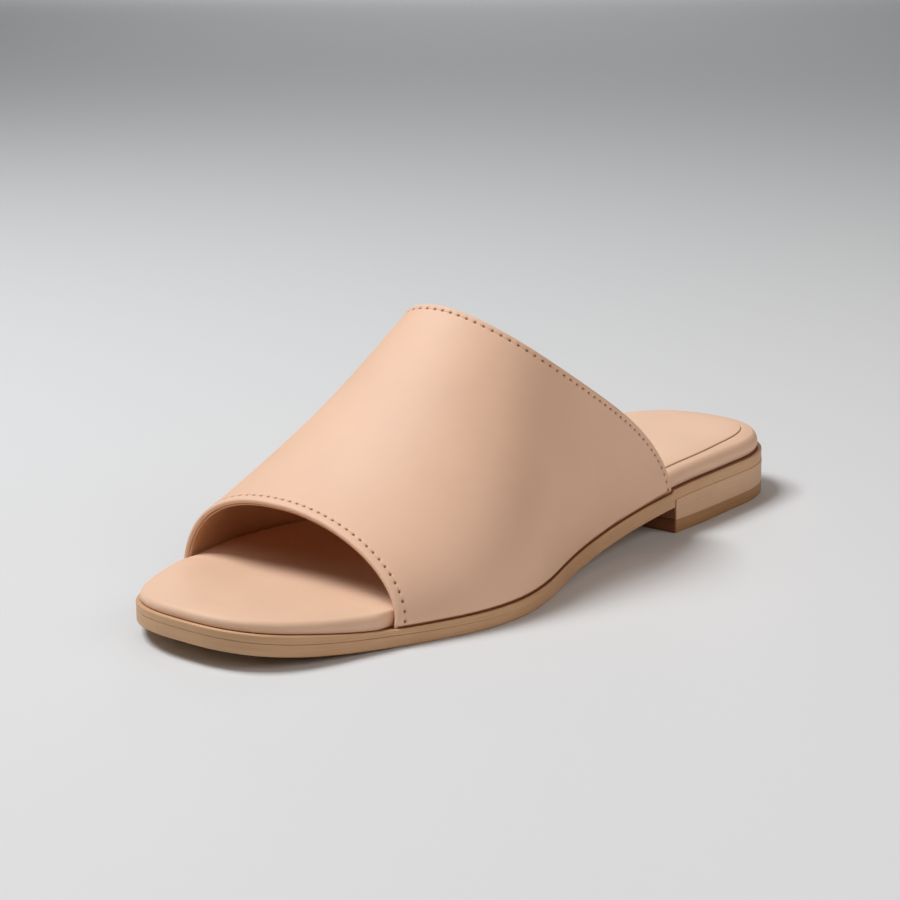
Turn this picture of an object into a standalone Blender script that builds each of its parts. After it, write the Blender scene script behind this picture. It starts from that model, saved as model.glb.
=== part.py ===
"""Left slide sandal: a wide leather band over a padded footbed, on a thin layered sole with a low heel.

Sizes are millimetres on the last: x runs from the back of the heel to the toe, y to the wearer's left,
which is the outer (lateral) side of the foot, and z up from the floor. Meshes are made in metres, and the
whole shoe is then moved so that the origin is on the floor under the middle of its box.
"""

from collections import namedtuple

import bmesh
import bpy
import numpy as np

MM = 0.001
SEAT_GAP = 0.3  # clearance between pieces that are glued face to face

# Main lengths and heights
LENGTH = 255.0
SOLE_THICK = 5.9  # midsole and outsole together at the ball, where the sole lies flat on the floor
HEEL_HEIGHT = 15.1  # top of the midsole at the back of the heel
TOE_SPRING = 5.4  # rise of the toe's tip
ARCH_FRONT, ARCH_BACK = 155.0, 56.0  # the sole climbs between these two stations
SPRING_START = 201.0

# Round ends of the outline: length of each cap and the power of its curve
HEEL_CAP, HEEL_CAP_POWER = 34.0, 2.2
TOE_CAP, TOE_CAP_POWER = 53.5, 2.7

# Heel
BREAST_X = 74.5  # front face of the heel
HEEL_PROUD = 0.4  # the heel stands this far outside the midsole
LIFT_FRONT, LIFT_BACK = 4.3, 3.7  # thickness of the wearing layer

# Footbed
FOOTBED_HEEL_THICK, FOOTBED_TOE_THICK = 6.3, 3.6
TAPER_BACK, TAPER_FRONT = 88.0, 224.0  # it grows thinner between these two stations
ROLL_WIDTH, ROLL_DROP = 3.4, 2.3  # the rolled top edge falls this far over this width
FOOTBED_INSET_HEEL, FOOTBED_INSET_BAND, FOOTBED_INSET_TOE = 1.2, 3.9, 1.4  # from the edge of the midsole
BAND_SEAT_BACK, BAND_SEAT_FRONT = 75.0, 214.0  # the footbed is narrowest between these, beside the band
SEAT_BLEND = 24.0  # length over which its inset changes
ARCH_RISE, ARCH_RISE_WIDTH = 2.9, 30.0  # it rises towards the medial edge under the arch, over this width
ARCH_RISE_BACK, ARCH_FULL_BACK = 70.0, 140.0  # the rise grows between these stations
ARCH_FULL_FRONT, ARCH_RISE_FRONT = 170.0, 236.0  # and dies out between these

# Band
BAND_WALL = 2.2
BAND_INSET = 0.7  # outer foot of the band, from the edge of the midsole

# Edge of the sole at each station: half widths on both sides, and depth of the joint between its two layers
SoleStation = namedtuple("SoleStation", "x lateral medial joint")
SOLE_STATIONS = (
    SoleStation(x=0.0, lateral=30.2, medial=30.2, joint=4.2),
    SoleStation(x=30.0, lateral=30.2, medial=30.2, joint=3.9),
    SoleStation(x=62.0, lateral=31.5, medial=30.2, joint=3.5),
    SoleStation(x=100.0, lateral=30.8, medial=28.6, joint=3.3),
    SoleStation(x=135.0, lateral=35.0, medial=33.4, joint=3.2),
    SoleStation(x=165.0, lateral=43.2, medial=43.0, joint=3.1),
    SoleStation(x=190.0, lateral=41.2, medial=50.0, joint=3.0),
    SoleStation(x=215.0, lateral=32.4, medial=48.2, joint=2.6),
    SoleStation(x=255.0, lateral=29.8, medial=40.6, joint=2.4),
)

# Cross sections of the band: its ridge, and the power of the curve from the ridge down to each side
BandSection = namedtuple("BandSection", "x ridge_z ridge_y lateral_power medial_power")
BAND_SECTIONS = (
    BandSection(x=75.0, ridge_z=122.8, ridge_y=-2.5, lateral_power=2.8, medial_power=2.4),
    BandSection(x=105.0, ridge_z=105.3, ridge_y=-5.0, lateral_power=2.4, medial_power=2.6),
    BandSection(x=140.0, ridge_z=81.4, ridge_y=-8.0, lateral_power=2.0, medial_power=2.7),
    BandSection(x=170.0, ridge_z=55.2, ridge_y=-10.5, lateral_power=1.9, medial_power=2.7),
    BandSection(x=200.0, ridge_z=34.4, ridge_y=-13.5, lateral_power=1.85, medial_power=2.8),
    BandSection(x=220.0, ridge_z=27.2, ridge_y=-15.0, lateral_power=1.85, medial_power=2.8),
)

# Cut edges of the band: where each meets the ridge and the two sides, and how it sweeps between them
BandEdge = namedtuple("BandEdge", "ridge_x lateral_x medial_x lateral_sweep medial_sweep")
TOE_EDGE = BandEdge(ridge_x=208.0, lateral_x=212.0, medial_x=213.5, lateral_sweep=2.3, medial_sweep=1.6)
THROAT_EDGE = BandEdge(ridge_x=143.0, lateral_x=75.3, medial_x=78.5, lateral_sweep=2.48, medial_sweep=2.6)

# Mesh densities: faces along the shoe and across it
SOLE_GRID = (44, 6)
OUTSOLE_GRID = (38, 6)
FOOTBED_GRID = (52, 18)
HEEL_GRID = (18, 6)
BAND_GRID = (22, 44)
ROW_CROWDING = 1.35  # draws the band's rows down towards its sides, where they would lie far apart
TIP_TRIM = 0.022  # share of the round end's sweep that is cut square at each tip
OUTLINE_SAMPLES = 400

Finish = namedtuple("Finish", "colour roughness")
NUDE_LEATHER = Finish(colour=(0.78, 0.55, 0.40), roughness=0.45)
SOLE_TAN = Finish(colour=(0.46, 0.30, 0.18), roughness=0.6)
LIFT_BROWN = Finish(colour=(0.30, 0.18, 0.10), roughness=0.7)


def spline(rows, column):
    """Natural cubic curve through one column of a table, as a function of x."""
    xs = np.array([row.x for row in rows])
    values = np.array([getattr(row, column) for row in rows])
    steps = np.diff(xs)
    slopes = np.diff(values) / steps
    count = len(xs)
    matrix = np.eye(count)
    right = np.zeros(count)
    for i in range(1, count - 1):
        matrix[i, i - 1 : i + 2] = steps[i - 1], 2 * (steps[i - 1] + steps[i]), steps[i]
        right[i] = 6 * (slopes[i] - slopes[i - 1])
    bends = np.linalg.solve(matrix, right)

    def curve(x):
        i = np.clip(np.searchsorted(xs, x) - 1, 0, count - 2)
        after, before, step = xs[i + 1] - x, x - xs[i], steps[i]
        cubic = (bends[i] * after**3 + bends[i + 1] * before**3) / (6 * step)
        start = (values[i] / step - bends[i] * step / 6) * after
        end = (values[i + 1] / step - bends[i + 1] * step / 6) * before
        return cubic + start + end

    return curve


lateral_half = spline(SOLE_STATIONS, "lateral")
medial_half = spline(SOLE_STATIONS, "medial")
joint_depth = spline(SOLE_STATIONS, "joint")
ridge_z = spline(BAND_SECTIONS, "ridge_z")
ridge_y = spline(BAND_SECTIONS, "ridge_y")
lateral_power = spline(BAND_SECTIONS, "lateral_power")
medial_power = spline(BAND_SECTIONS, "medial_power")


def ease(share):
    """Smooth step from 0 to 1."""
    share = np.clip(share, 0, 1)
    return share * share * (3 - 2 * share)


def end_cap(x, heel_inset, toe_inset):
    """Share of the full width that the round ends leave at x."""
    back = np.clip((HEEL_CAP - x) / (HEEL_CAP - heel_inset), 0, 1)
    front = np.clip((x - LENGTH + TOE_CAP) / (TOE_CAP - toe_inset), 0, 1)
    heel = (1 - back**HEEL_CAP_POWER) ** (1 / HEEL_CAP_POWER)
    toe = (1 - front**TOE_CAP_POWER) ** (1 / TOE_CAP_POWER)
    return heel * toe


def side_lines(x, inset=0.0, heel_inset=0.0, toe_inset=0.0):
    """Lateral and medial y of the outline at x, drawn in by the insets."""
    lateral = lateral_half(x) - inset
    medial = medial_half(x) - inset
    centre = (lateral - medial) / 2
    half = (lateral + medial) / 2 * end_cap(x, heel_inset, toe_inset)
    return centre + half, centre - half


def board_top(x):
    """Height of the midsole's upper face."""
    climb = ease((ARCH_FRONT - x) / (ARCH_FRONT - ARCH_BACK))
    spring = np.clip((x - SPRING_START) / (LENGTH - SPRING_START), 0, 1) ** 2
    return SOLE_THICK + (HEEL_HEIGHT - SOLE_THICK) * climb + TOE_SPRING * spring


def joint_line(x):
    """Height of the joint under the midsole."""
    return board_top(x) - joint_depth(x)


def lift_top(x):
    """Height of the joint between the heel block and its lift."""
    return LIFT_BACK + (LIFT_FRONT - LIFT_BACK) * x / BREAST_X


def footbed_inset(x):
    """Distance of the footbed's edge from the midsole's edge, wider where the band stands beside it."""
    behind = ease((BAND_SEAT_BACK - x) / SEAT_BLEND)
    before = ease((x - BAND_SEAT_FRONT) / SEAT_BLEND)
    inset = FOOTBED_INSET_BAND + (FOOTBED_INSET_HEEL - FOOTBED_INSET_BAND) * behind
    return inset + (FOOTBED_INSET_TOE - FOOTBED_INSET_BAND) * before


def footbed_thick(x):
    """Thickness of the footbed, which tapers towards the toe."""
    taper = ease((x - TAPER_BACK) / (TAPER_FRONT - TAPER_BACK))
    return FOOTBED_HEEL_THICK + (FOOTBED_TOE_THICK - FOOTBED_HEEL_THICK) * taper


def arch_rise(x, from_medial):
    """Rise of the footbed under the arch, by station and distance from its medial edge."""
    back = ease((x - ARCH_RISE_BACK) / (ARCH_FULL_BACK - ARCH_RISE_BACK))
    front = ease((ARCH_RISE_FRONT - x) / (ARCH_RISE_FRONT - ARCH_FULL_FRONT))
    return ARCH_RISE * back * front * ease(1 - from_medial / ARCH_RISE_WIDTH)


def stations(share, start, end):
    """Stations along the shoe, close together where an end is round."""
    first = TIP_TRIM if start < HEEL_CAP else 0.0
    last = 1 - TIP_TRIM if end > LENGTH - TOE_CAP else 1.0
    sweep = first + (last - first) * share
    rounded = (1 - np.cos(np.pi * sweep)) / 2
    if start < HEEL_CAP < LENGTH - TOE_CAP < end:
        return start + (end - start) * rounded
    if start < HEEL_CAP:
        return start + (end - start) * (1 - np.cos(np.pi / 2 * sweep))
    return start + (end - start) * np.sin(np.pi / 2 * sweep)


def edge_distance(x, y, sides, span):
    """Distance on the flat from each point to the nearest place on an outline."""
    edge_x = stations(np.linspace(0, 1, OUTLINE_SAMPLES), *span)
    lateral, medial = sides(edge_x)
    to_lateral = np.hypot(x[:, None] - edge_x, y[:, None] - lateral)
    to_medial = np.hypot(x[:, None] - edge_x, y[:, None] - medial)
    to_tip = np.minimum(x - edge_x[0], edge_x[-1] - x)
    return np.minimum(to_tip, np.minimum(to_lateral, to_medial).min(axis=1))


def grid_mesh(cells):
    """A flat bmesh grid of one metre, with this many faces along and across."""
    mesh = bmesh.new()
    bmesh.ops.create_grid(mesh, x_segments=cells[0], y_segments=cells[1], size=0.5)
    return mesh


def grid_shares(vertices):
    """Shares along and across the grid, from 0 to 1, of vertices that are still in their first places."""
    return np.array([vertex.co[:2] for vertex in vertices]).T + 0.5


def place(vertices, points):
    """Puts vertices at points given in millimetres on the last."""
    for vertex, point in zip(vertices, points * MM):
        vertex.co = point


def add_node(name, mesh, finish, parent):
    """Closes a bmesh into a named object with its own material."""
    bmesh.ops.recalc_face_normals(mesh, faces=mesh.faces)
    data = bpy.data.meshes.new(name)
    mesh.to_mesh(data)
    mesh.free()
    data.shade_smooth()
    data.set_sharp_from_angle(angle=np.radians(40))
    material = bpy.data.materials.new(name)
    material.use_nodes = True
    shader = material.node_tree.nodes["Principled BSDF"]
    shader.inputs["Base Color"].default_value = (*finish.colour, 1.0)
    shader.inputs["Roughness"].default_value = finish.roughness
    shader.inputs["Metallic"].default_value = 0.0
    data.materials.append(material)
    node = bpy.data.objects.new(name, data)
    node.parent = parent
    bpy.context.scene.collection.objects.link(node)
    return node


def layer(name, cells, span, sides, top, bottom, finish, parent):
    """A layer of the sole: a grid laid between two side lines and extruded from its top to its bottom face.

    span is the first and last station, sides(x) gives the lateral and medial edge, and top(x, y) and
    bottom(x, y) give the heights of the two faces. Rows lie closer together towards the edges.
    """
    mesh = grid_mesh(cells)
    upper_verts = list(mesh.verts)
    copied = bmesh.ops.extrude_face_region(mesh, geom=list(mesh.faces))
    lower_verts = [item for item in copied["geom"] if isinstance(item, bmesh.types.BMVert)]
    for vertices, height in ((upper_verts, top), (lower_verts, bottom)):
        along, across = grid_shares(vertices)
        x = stations(along, *span)
        lateral, medial = sides(x)
        y = medial + (lateral - medial) * (1 - np.cos(np.pi * across)) / 2
        place(vertices, np.column_stack([x, y, height(x, y)]))
    return add_node(name, mesh, finish, parent)


def build_midsole(parent):
    """Upper layer of the sole, the whole length of the shoe."""
    return layer(
        "midsole",
        SOLE_GRID,
        (0.0, LENGTH),
        side_lines,
        lambda x, y: board_top(x),
        lambda x, y: joint_line(x) + SEAT_GAP,
        SOLE_TAN,
        parent,
    )


def build_outsole(parent):
    """Lower layer of the sole, from the heel's breast to the toe, flat on the floor under the ball."""
    return layer(
        "outsole",
        OUTSOLE_GRID,
        (BREAST_X + SEAT_GAP, LENGTH),
        side_lines,
        lambda x, y: joint_line(x),
        lambda x, y: board_top(x) - SOLE_THICK,
        SOLE_TAN,
        parent,
    )


def build_heel(parent):
    """Heel block and the lift under it, both a little outside the midsole."""

    def heel_sides(x):
        return side_lines(x, -HEEL_PROUD, -HEEL_PROUD)

    span = (-HEEL_PROUD, BREAST_X)
    block = layer(
        "heel_block",
        HEEL_GRID,
        span,
        heel_sides,
        lambda x, y: joint_line(x),
        lambda x, y: lift_top(x) + SEAT_GAP,
        SOLE_TAN,
        parent,
    )
    lift = layer(
        "heel_lift",
        HEEL_GRID,
        span,
        heel_sides,
        lambda x, y: lift_top(x),
        lambda x, y: np.zeros_like(x),
        LIFT_BROWN,
        parent,
    )
    return block, lift


def build_footbed(parent):
    """Padded insole with a rolled top edge and a raised arch."""
    span = (FOOTBED_INSET_HEEL, LENGTH - FOOTBED_INSET_TOE)

    def footbed_sides(x):
        return side_lines(x, footbed_inset(x), FOOTBED_INSET_HEEL, FOOTBED_INSET_TOE)

    def rolled_top(x, y):
        inside = edge_distance(x, y, footbed_sides, span)
        drop = ROLL_DROP * np.clip(1 - inside / ROLL_WIDTH, 0, 1) ** 2
        arch = arch_rise(x, y - footbed_sides(x)[1])
        return board_top(x) + SEAT_GAP + footbed_thick(x) + arch - drop

    return layer(
        "footbed",
        FOOTBED_GRID,
        span,
        footbed_sides,
        rolled_top,
        lambda x, y: board_top(x) + SEAT_GAP,
        NUDE_LEATHER,
        parent,
    )


def edge_station(edge, from_ridge, lateral_side):
    """Station of a cut edge, by the share of the way from the ridge down to its side."""
    lateral = edge.ridge_x + (edge.lateral_x - edge.ridge_x) * from_ridge**edge.lateral_sweep
    medial = edge.ridge_x + (edge.medial_x - edge.ridge_x) * from_ridge**edge.medial_sweep
    return np.where(lateral_side, lateral, medial)


def band_surface(along, around):
    """Outer face of the band: along from throat to toe edge, around from the medial to the lateral side."""
    lateral_side = around >= 0.5
    rise = (1 - np.abs(2 * around - 1)) ** ROW_CROWDING
    angle = np.pi / 2 * rise
    from_ridge = 1 - rise
    toe = edge_station(TOE_EDGE, from_ridge, lateral_side)
    throat = edge_station(THROAT_EDGE, from_ridge, lateral_side)
    x = throat + (toe - throat) * along
    lateral, medial = side_lines(x, BAND_INSET)
    foot_z = board_top(x) + SEAT_GAP
    power = 2 / np.where(lateral_side, lateral_power(x), medial_power(x))
    outward = np.abs(np.cos(angle)) ** power
    upward = np.sin(angle) ** power
    y = ridge_y(x) + (np.where(lateral_side, lateral, medial) - ridge_y(x)) * outward
    z = foot_z + (ridge_z(x) - foot_z) * upward
    return np.column_stack([x, y, z])


def build_upper(parent):
    """The band: one leather wall, open at the toe, at the throat and underneath."""
    mesh = grid_mesh(BAND_GRID)
    place(mesh.verts, band_surface(*grid_shares(mesh.verts)))
    upper = add_node("upper", mesh, NUDE_LEATHER, parent)
    wall = upper.modifiers.new("wall", "SOLIDIFY")
    wall.thickness = BAND_WALL * MM
    wall.offset = -1.0
    wall.use_even_offset = True
    return upper


def box_middle(nodes):
    """Point on the floor under the middle of the box around all nodes."""
    corners = np.array([vertex.co for node in nodes for vertex in node.data.vertices])
    middle = (corners.min(axis=0) + corners.max(axis=0)) / 2
    return (middle[0], middle[1], 0.0)


def main():
    for item in list(bpy.data.objects):
        bpy.data.objects.remove(item)
    sandal = bpy.data.objects.new("sandal", None)
    bpy.context.scene.collection.objects.link(sandal)
    nodes = [
        build_midsole(sandal),
        build_outsole(sandal),
        *build_heel(sandal),
        build_footbed(sandal),
        build_upper(sandal),
    ]
    sandal.location = [-value for value in box_middle(nodes)]


main()
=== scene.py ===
"""Looks of a left slide sandal: a nude leather band and padded footbed on a thin layered sole.

Sizes are millimetres on the last, as in the part: x runs from the back of the heel to the toe, y to the
wearer's left, which is the lateral side, and z up. Finished meshes are in the part's frame, in metres.
"""

import logging
import math
from collections.abc import Callable, Sequence
from dataclasses import dataclass
from enum import Enum

import bmesh
import bpy
import numpy as np
from bmesh.types import BMesh
from bpy.types import ID, Material, Mesh, Node, NodeSocket, NodeTree, Object
from mathutils import Matrix, Vector


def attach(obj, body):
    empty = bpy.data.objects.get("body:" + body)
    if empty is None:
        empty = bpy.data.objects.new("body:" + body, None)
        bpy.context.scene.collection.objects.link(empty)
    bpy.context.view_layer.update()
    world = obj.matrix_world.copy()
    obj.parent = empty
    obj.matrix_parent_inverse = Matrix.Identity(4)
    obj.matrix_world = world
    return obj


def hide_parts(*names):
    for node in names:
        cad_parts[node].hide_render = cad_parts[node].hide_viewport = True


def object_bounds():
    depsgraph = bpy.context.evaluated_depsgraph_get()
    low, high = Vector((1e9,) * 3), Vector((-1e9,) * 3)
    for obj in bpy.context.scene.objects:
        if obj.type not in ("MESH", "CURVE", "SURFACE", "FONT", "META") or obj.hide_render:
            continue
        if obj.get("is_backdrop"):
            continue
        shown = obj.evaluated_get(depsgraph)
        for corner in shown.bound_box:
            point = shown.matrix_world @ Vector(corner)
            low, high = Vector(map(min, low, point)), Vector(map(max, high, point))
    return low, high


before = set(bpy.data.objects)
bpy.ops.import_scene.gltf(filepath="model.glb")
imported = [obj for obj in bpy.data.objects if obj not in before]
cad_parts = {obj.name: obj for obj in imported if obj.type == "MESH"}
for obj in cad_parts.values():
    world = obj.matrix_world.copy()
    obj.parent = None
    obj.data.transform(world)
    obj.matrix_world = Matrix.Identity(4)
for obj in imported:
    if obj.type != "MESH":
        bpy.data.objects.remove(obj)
CAD_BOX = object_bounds()

LOG = logging.getLogger("sandal")
Array = np.ndarray
Height = Callable[[Array], Array]
Pair = tuple[float, float]
Steps = tuple[float, ...]

MM = 0.001
LAST_ORIGIN = (127.2686, -3.2858)  # where the part's origin lies on the last
BODY = "root"
MARKS = "marks"  # point attribute that a finish reads: what it holds is said at each piece
WELD = 2e-6  # points nearer than this, in metres, are one
SHARP_DEG = 50.0  # edges that turn more than this stay crisp
SHADE_FADE = 0.2  # width over which the painted shade on a layer of the sole fades
DENSE = 4000  # samples of a curve that is then cut into even steps
WAVE_PHASE = 20  # phase of a wave texture over one unit of its scale
LOWER_MARGINS = (4.0, 0.6)  # rows on a layer's lower face, by their distance from its rim
UPPER_MARGINS = (0.15, 0.35, 0.55, 0.9, 4.0)  # rows on its upper face, close where the painted shade fades


class Slot(Enum):
    """Material slots of the record."""

    BAND = "band_leather"
    FOOTBED = "footbed_leather"
    SOLE = "sole_edge"
    HEEL = "heel_stack"
    LIFT = "lift_rubber"


class Side(Enum):
    """Sides of the foot, with the sign of y."""

    LATERAL = 1
    MEDIAL = -1


class NaturalCurve:
    """Natural cubic curve through a few points, as a function of the station."""

    def __init__(self, xs: Sequence[float], values: Sequence[float]) -> None:
        """Works out the bends of the curve.

        Args:
            xs: Stations of the points, rising.
            values: Value at each station.
        """
        self.xs = np.array(xs)
        self.values = np.array(values)
        self.steps = np.diff(self.xs)
        slopes = np.diff(self.values) / self.steps
        count = len(self.xs)
        matrix = np.eye(count)
        right = np.zeros(count)
        for i in range(1, count - 1):
            before, after = self.steps[i - 1], self.steps[i]
            matrix[i, i - 1 : i + 2] = before, 2 * (before + after), after
            right[i] = 6 * (slopes[i] - slopes[i - 1])
        self.bends = np.linalg.solve(matrix, right)

    def __call__(self, x: Array) -> Array:
        """Value of the curve at x."""
        i = np.clip(np.searchsorted(self.xs, x) - 1, 0, len(self.xs) - 2)
        after, before, step = self.xs[i + 1] - x, x - self.xs[i], self.steps[i]
        cubic = (self.bends[i] * after**3 + self.bends[i + 1] * before**3) / (6 * step)
        start = (self.values[i] / step - self.bends[i] * step / 6) * after
        end = (self.values[i + 1] / step - self.bends[i + 1] * step / 6) * before
        return cubic + start + end


def curves(rows: Sequence, *names: str) -> list[NaturalCurve]:
    """Curves of the named columns of a table over its x."""
    xs = [row.x for row in rows]
    return [NaturalCurve(xs, [getattr(row, name) for row in rows]) for name in names]


def ease(share: Array) -> Array:
    """Smooth step from 0 to 1."""
    share = np.clip(share, 0, 1)
    return share * share * (3 - 2 * share)


def change(x: Array, span: Pair, first: float, last: float) -> Array:
    """A size that changes smoothly from one value to another.

    Args:
        x: Stations.
        span: Stations where the change starts and ends.
        first: Size before it.
        last: Size after it.

    Returns:
        The size at each station.
    """
    start, end = span
    return first + (last - first) * ease((x - start) / (end - start))


def bell(distance: Array, width: float) -> Array:
    """Soft bump of height 1 that fades over a width."""
    return np.exp(-((distance / width) ** 2))


def run_along(points: Array) -> Array:
    """Length along lines of points, which run over the first axis, at each point."""
    steps = np.linalg.norm(np.diff(points, axis=0), axis=-1)
    return np.concatenate([np.zeros((1, *steps.shape[1:])), np.cumsum(steps, axis=0)])


def unit(vectors: Array) -> Array:
    """Vectors on the last axis at length 1."""
    return vectors / np.linalg.norm(vectors, axis=-1, keepdims=True)


def stack(x: Array, y: Array, z: Array) -> Array:
    """Points from three arrays of coordinates."""
    return np.stack(np.broadcast_arrays(x, y, z), axis=-1)


def placed(points: Array) -> Array:
    """Points on the last, in millimetres, as places in the part's frame, in metres."""
    return (points - np.array([*LAST_ORIGIN, 0.0])) * MM


def loft(points: Array, marks: Array) -> BMesh:
    """Lays a grid over rows and columns of points and closes it where rows or columns meet.

    Args:
        points: Places on the last in millimetres, by row, column and coordinate.
        marks: What the finish reads at each point, in the same order.

    Returns:
        A closed bmesh in the part's frame that faces outwards.
    """
    rows, columns = points.shape[:2]
    places = placed(points)
    mesh = bmesh.new()
    layer = mesh.verts.layers.float_vector.new(MARKS)
    bmesh.ops.create_grid(mesh, x_segments=columns - 1, y_segments=rows - 1, size=0.5)
    for vertex in mesh.verts:
        column = round((vertex.co.x + 0.5) * (columns - 1))
        row = round((vertex.co.y + 0.5) * (rows - 1))
        vertex.co = places[row, column]
        vertex[layer] = marks[row, column]
    bmesh.ops.remove_doubles(mesh, verts=mesh.verts, dist=WELD)
    bmesh.ops.holes_fill(mesh, edges=[edge for edge in mesh.edges if edge.is_boundary], sides=0)
    bmesh.ops.recalc_face_normals(mesh, faces=mesh.faces)
    return mesh


def mesh_data(name: str, mesh: BMesh, material: Material) -> Mesh:
    """Turns a bmesh, which is freed, into mesh data with its material."""
    data = bpy.data.meshes.new(name)
    mesh.to_mesh(data)
    mesh.free()
    data.materials.append(material)
    return data


def add_object(name: str, data: ID) -> Object:
    """Makes an object of its data and links it to the scene."""
    thing = bpy.data.objects.new(name, data)
    bpy.context.scene.collection.objects.link(thing)
    return thing


def add_piece(name: str, mesh: BMesh, material: Material, slot: Slot, *nodes: str) -> Object:
    """Makes a bmesh a piece of the sandal.

    Args:
        name: Name of the piece.
        mesh: Its closed bmesh, which is freed.
        material: Its finish.
        slot: Slot of the record that the finish belongs to. Not used.
        *nodes: Nodes of the part that the piece stands for.

    Returns:
        The new object.
    """
    data = mesh_data(name, mesh, material)
    data.shade_smooth()
    data.set_sharp_from_angle(angle=math.radians(SHARP_DEG))
    piece = add_object(name, data)
    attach(piece, BODY)
    if nodes:
        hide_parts(*nodes)
    LOG.info("%s: %d faces", name, len(data.polygons))
    return piece


def linear(code: str) -> tuple[float, float, float, float]:
    """Turns an sRGB hex colour into linear values with an alpha of 1."""
    shares = [int(code[i : i + 2], 16) / 255 for i in (1, 3, 5)]
    red, green, blue = (s / 12.92 if s <= 0.04045 else ((s + 0.055) / 1.055) ** 2.4 for s in shares)
    return red, green, blue, 1.0


def feed(tree: NodeTree, node: Node, inputs: dict) -> None:
    """Links a socket to, or sets a value on, inputs of a node.

    Args:
        tree: Tree of the node.
        node: The node.
        inputs: A socket or a value for each input, by name or number.
    """
    for key, value in inputs.items():
        if isinstance(value, NodeSocket):
            tree.links.new(value, node.inputs[key])
        else:
            node.inputs[key].default_value = value


def add_node(tree: NodeTree, kind: str, inputs: dict | None = None, **settings: object) -> Node:
    """Adds a shader node.

    Args:
        tree: Tree that the node joins.
        kind: Type of the node, without its prefix.
        inputs: A socket to link, or a value to set, for each input by name or number.
        **settings: Properties of the node.

    Returns:
        The new node.
    """
    node = tree.nodes.new("ShaderNode" + kind)
    for key, value in settings.items():
        setattr(node, key, value)
    feed(tree, node, inputs or {})
    return node


def new_material(name: str) -> tuple[Material, NodeTree, Node]:
    """Makes a material, and gives it, its tree and its Principled shader."""
    material = bpy.data.materials.new(name)
    material.use_nodes = True
    tree = material.node_tree
    return material, tree, tree.nodes["Principled BSDF"]


def per_metre(size_mm: float) -> float:
    """Texture scale at which one feature has this size."""
    return 1 / (size_mm * MM)


@dataclass(frozen=True)
class CalfLeather:
    """Full-grain calf, dyed through and lightly plated: an even skin with a soft wide sheen and tiny pores.

    It reads marks: x is painted shade in a crease or needle hole, y a stretched rim, z painted shade along
    the foot where it meets the sole.
    """

    name: str
    colour: str
    # colour of painted shade in creases and needle holes
    crease_shade: str = "#6A3A20"
    rim: str = "#F2D3BB"
    # colour of painted shade along the foot where the band meets the sole
    painted_shade: str = "#96603A"
    roughness: float = 0.57
    roughness_change: float = 0.05
    pore_mm: float = 0.7  # real pores are near 0.2 mm, drawn coarser so that they show
    fibre_mm: float = 0.28
    cloud_mm: float = 26.0
    cloud_stops: tuple[Pair, ...] = ((0.3, 0.965), (0.7, 1.03))  # places and their brightness
    grain_depth_mm: float = 0.02
    grain_strength: float = 0.35

    def material(self) -> Material:
        """Builds the material."""
        material, tree, shader = new_material(self.name)
        place = add_node(tree, "TexCoord").outputs["Object"]
        marks = add_node(tree, "Attribute", attribute_name=MARKS).outputs["Vector"]
        parts = add_node(tree, "SeparateXYZ", {0: marks}).outputs
        sized = {"Vector": place, "Scale": per_metre(self.cloud_mm), "Detail": 3.0}
        cloud = add_node(tree, "TexNoise", sized).outputs["Fac"]
        sized = {"Vector": place, "Scale": per_metre(self.pore_mm)}
        pores = add_node(tree, "TexVoronoi", sized, feature="SMOOTH_F1").outputs["Distance"]
        sized = {"Vector": place, "Scale": per_metre(self.fibre_mm), "Detail": 2.0}
        fibre = add_node(tree, "TexNoise", sized).outputs["Fac"]
        shade = add_node(tree, "ValToRGB", {0: cloud})
        for stop, (at, gain) in zip(shade.color_ramp.elements, self.cloud_stops):
            stop.position = at
            stop.color = [min(1.0, value * gain) for value in linear(self.colour)[:3]] + [1.0]
        colour = shade.outputs["Color"]
        # mixes in the stretched rim, then painted shade along the foot, then painted shade in creases and
        # holes
        for mark, paint in (("Y", self.rim), ("Z", self.painted_shade), ("X", self.crease_shade)):
            colour = add_node(tree, "MixRGB", {0: parts[mark], 1: colour, 2: linear(paint)}).outputs["Color"]
        low, high = self.roughness - self.roughness_change, self.roughness + self.roughness_change
        gloss = add_node(tree, "MapRange", {0: cloud, 3: low, 4: high}).outputs[0]
        relief = add_node(tree, "Math", {0: pores, 1: fibre}, operation="ADD").outputs[0]
        grain = {"Strength": self.grain_strength, "Distance": self.grain_depth_mm * MM, "Height": relief}
        bump = add_node(tree, "Bump", grain).outputs["Normal"]
        feed(tree, shader, {"Base Color": colour, "Roughness": gloss, "Normal": bump, "IOR": 1.45})
        return material


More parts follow.
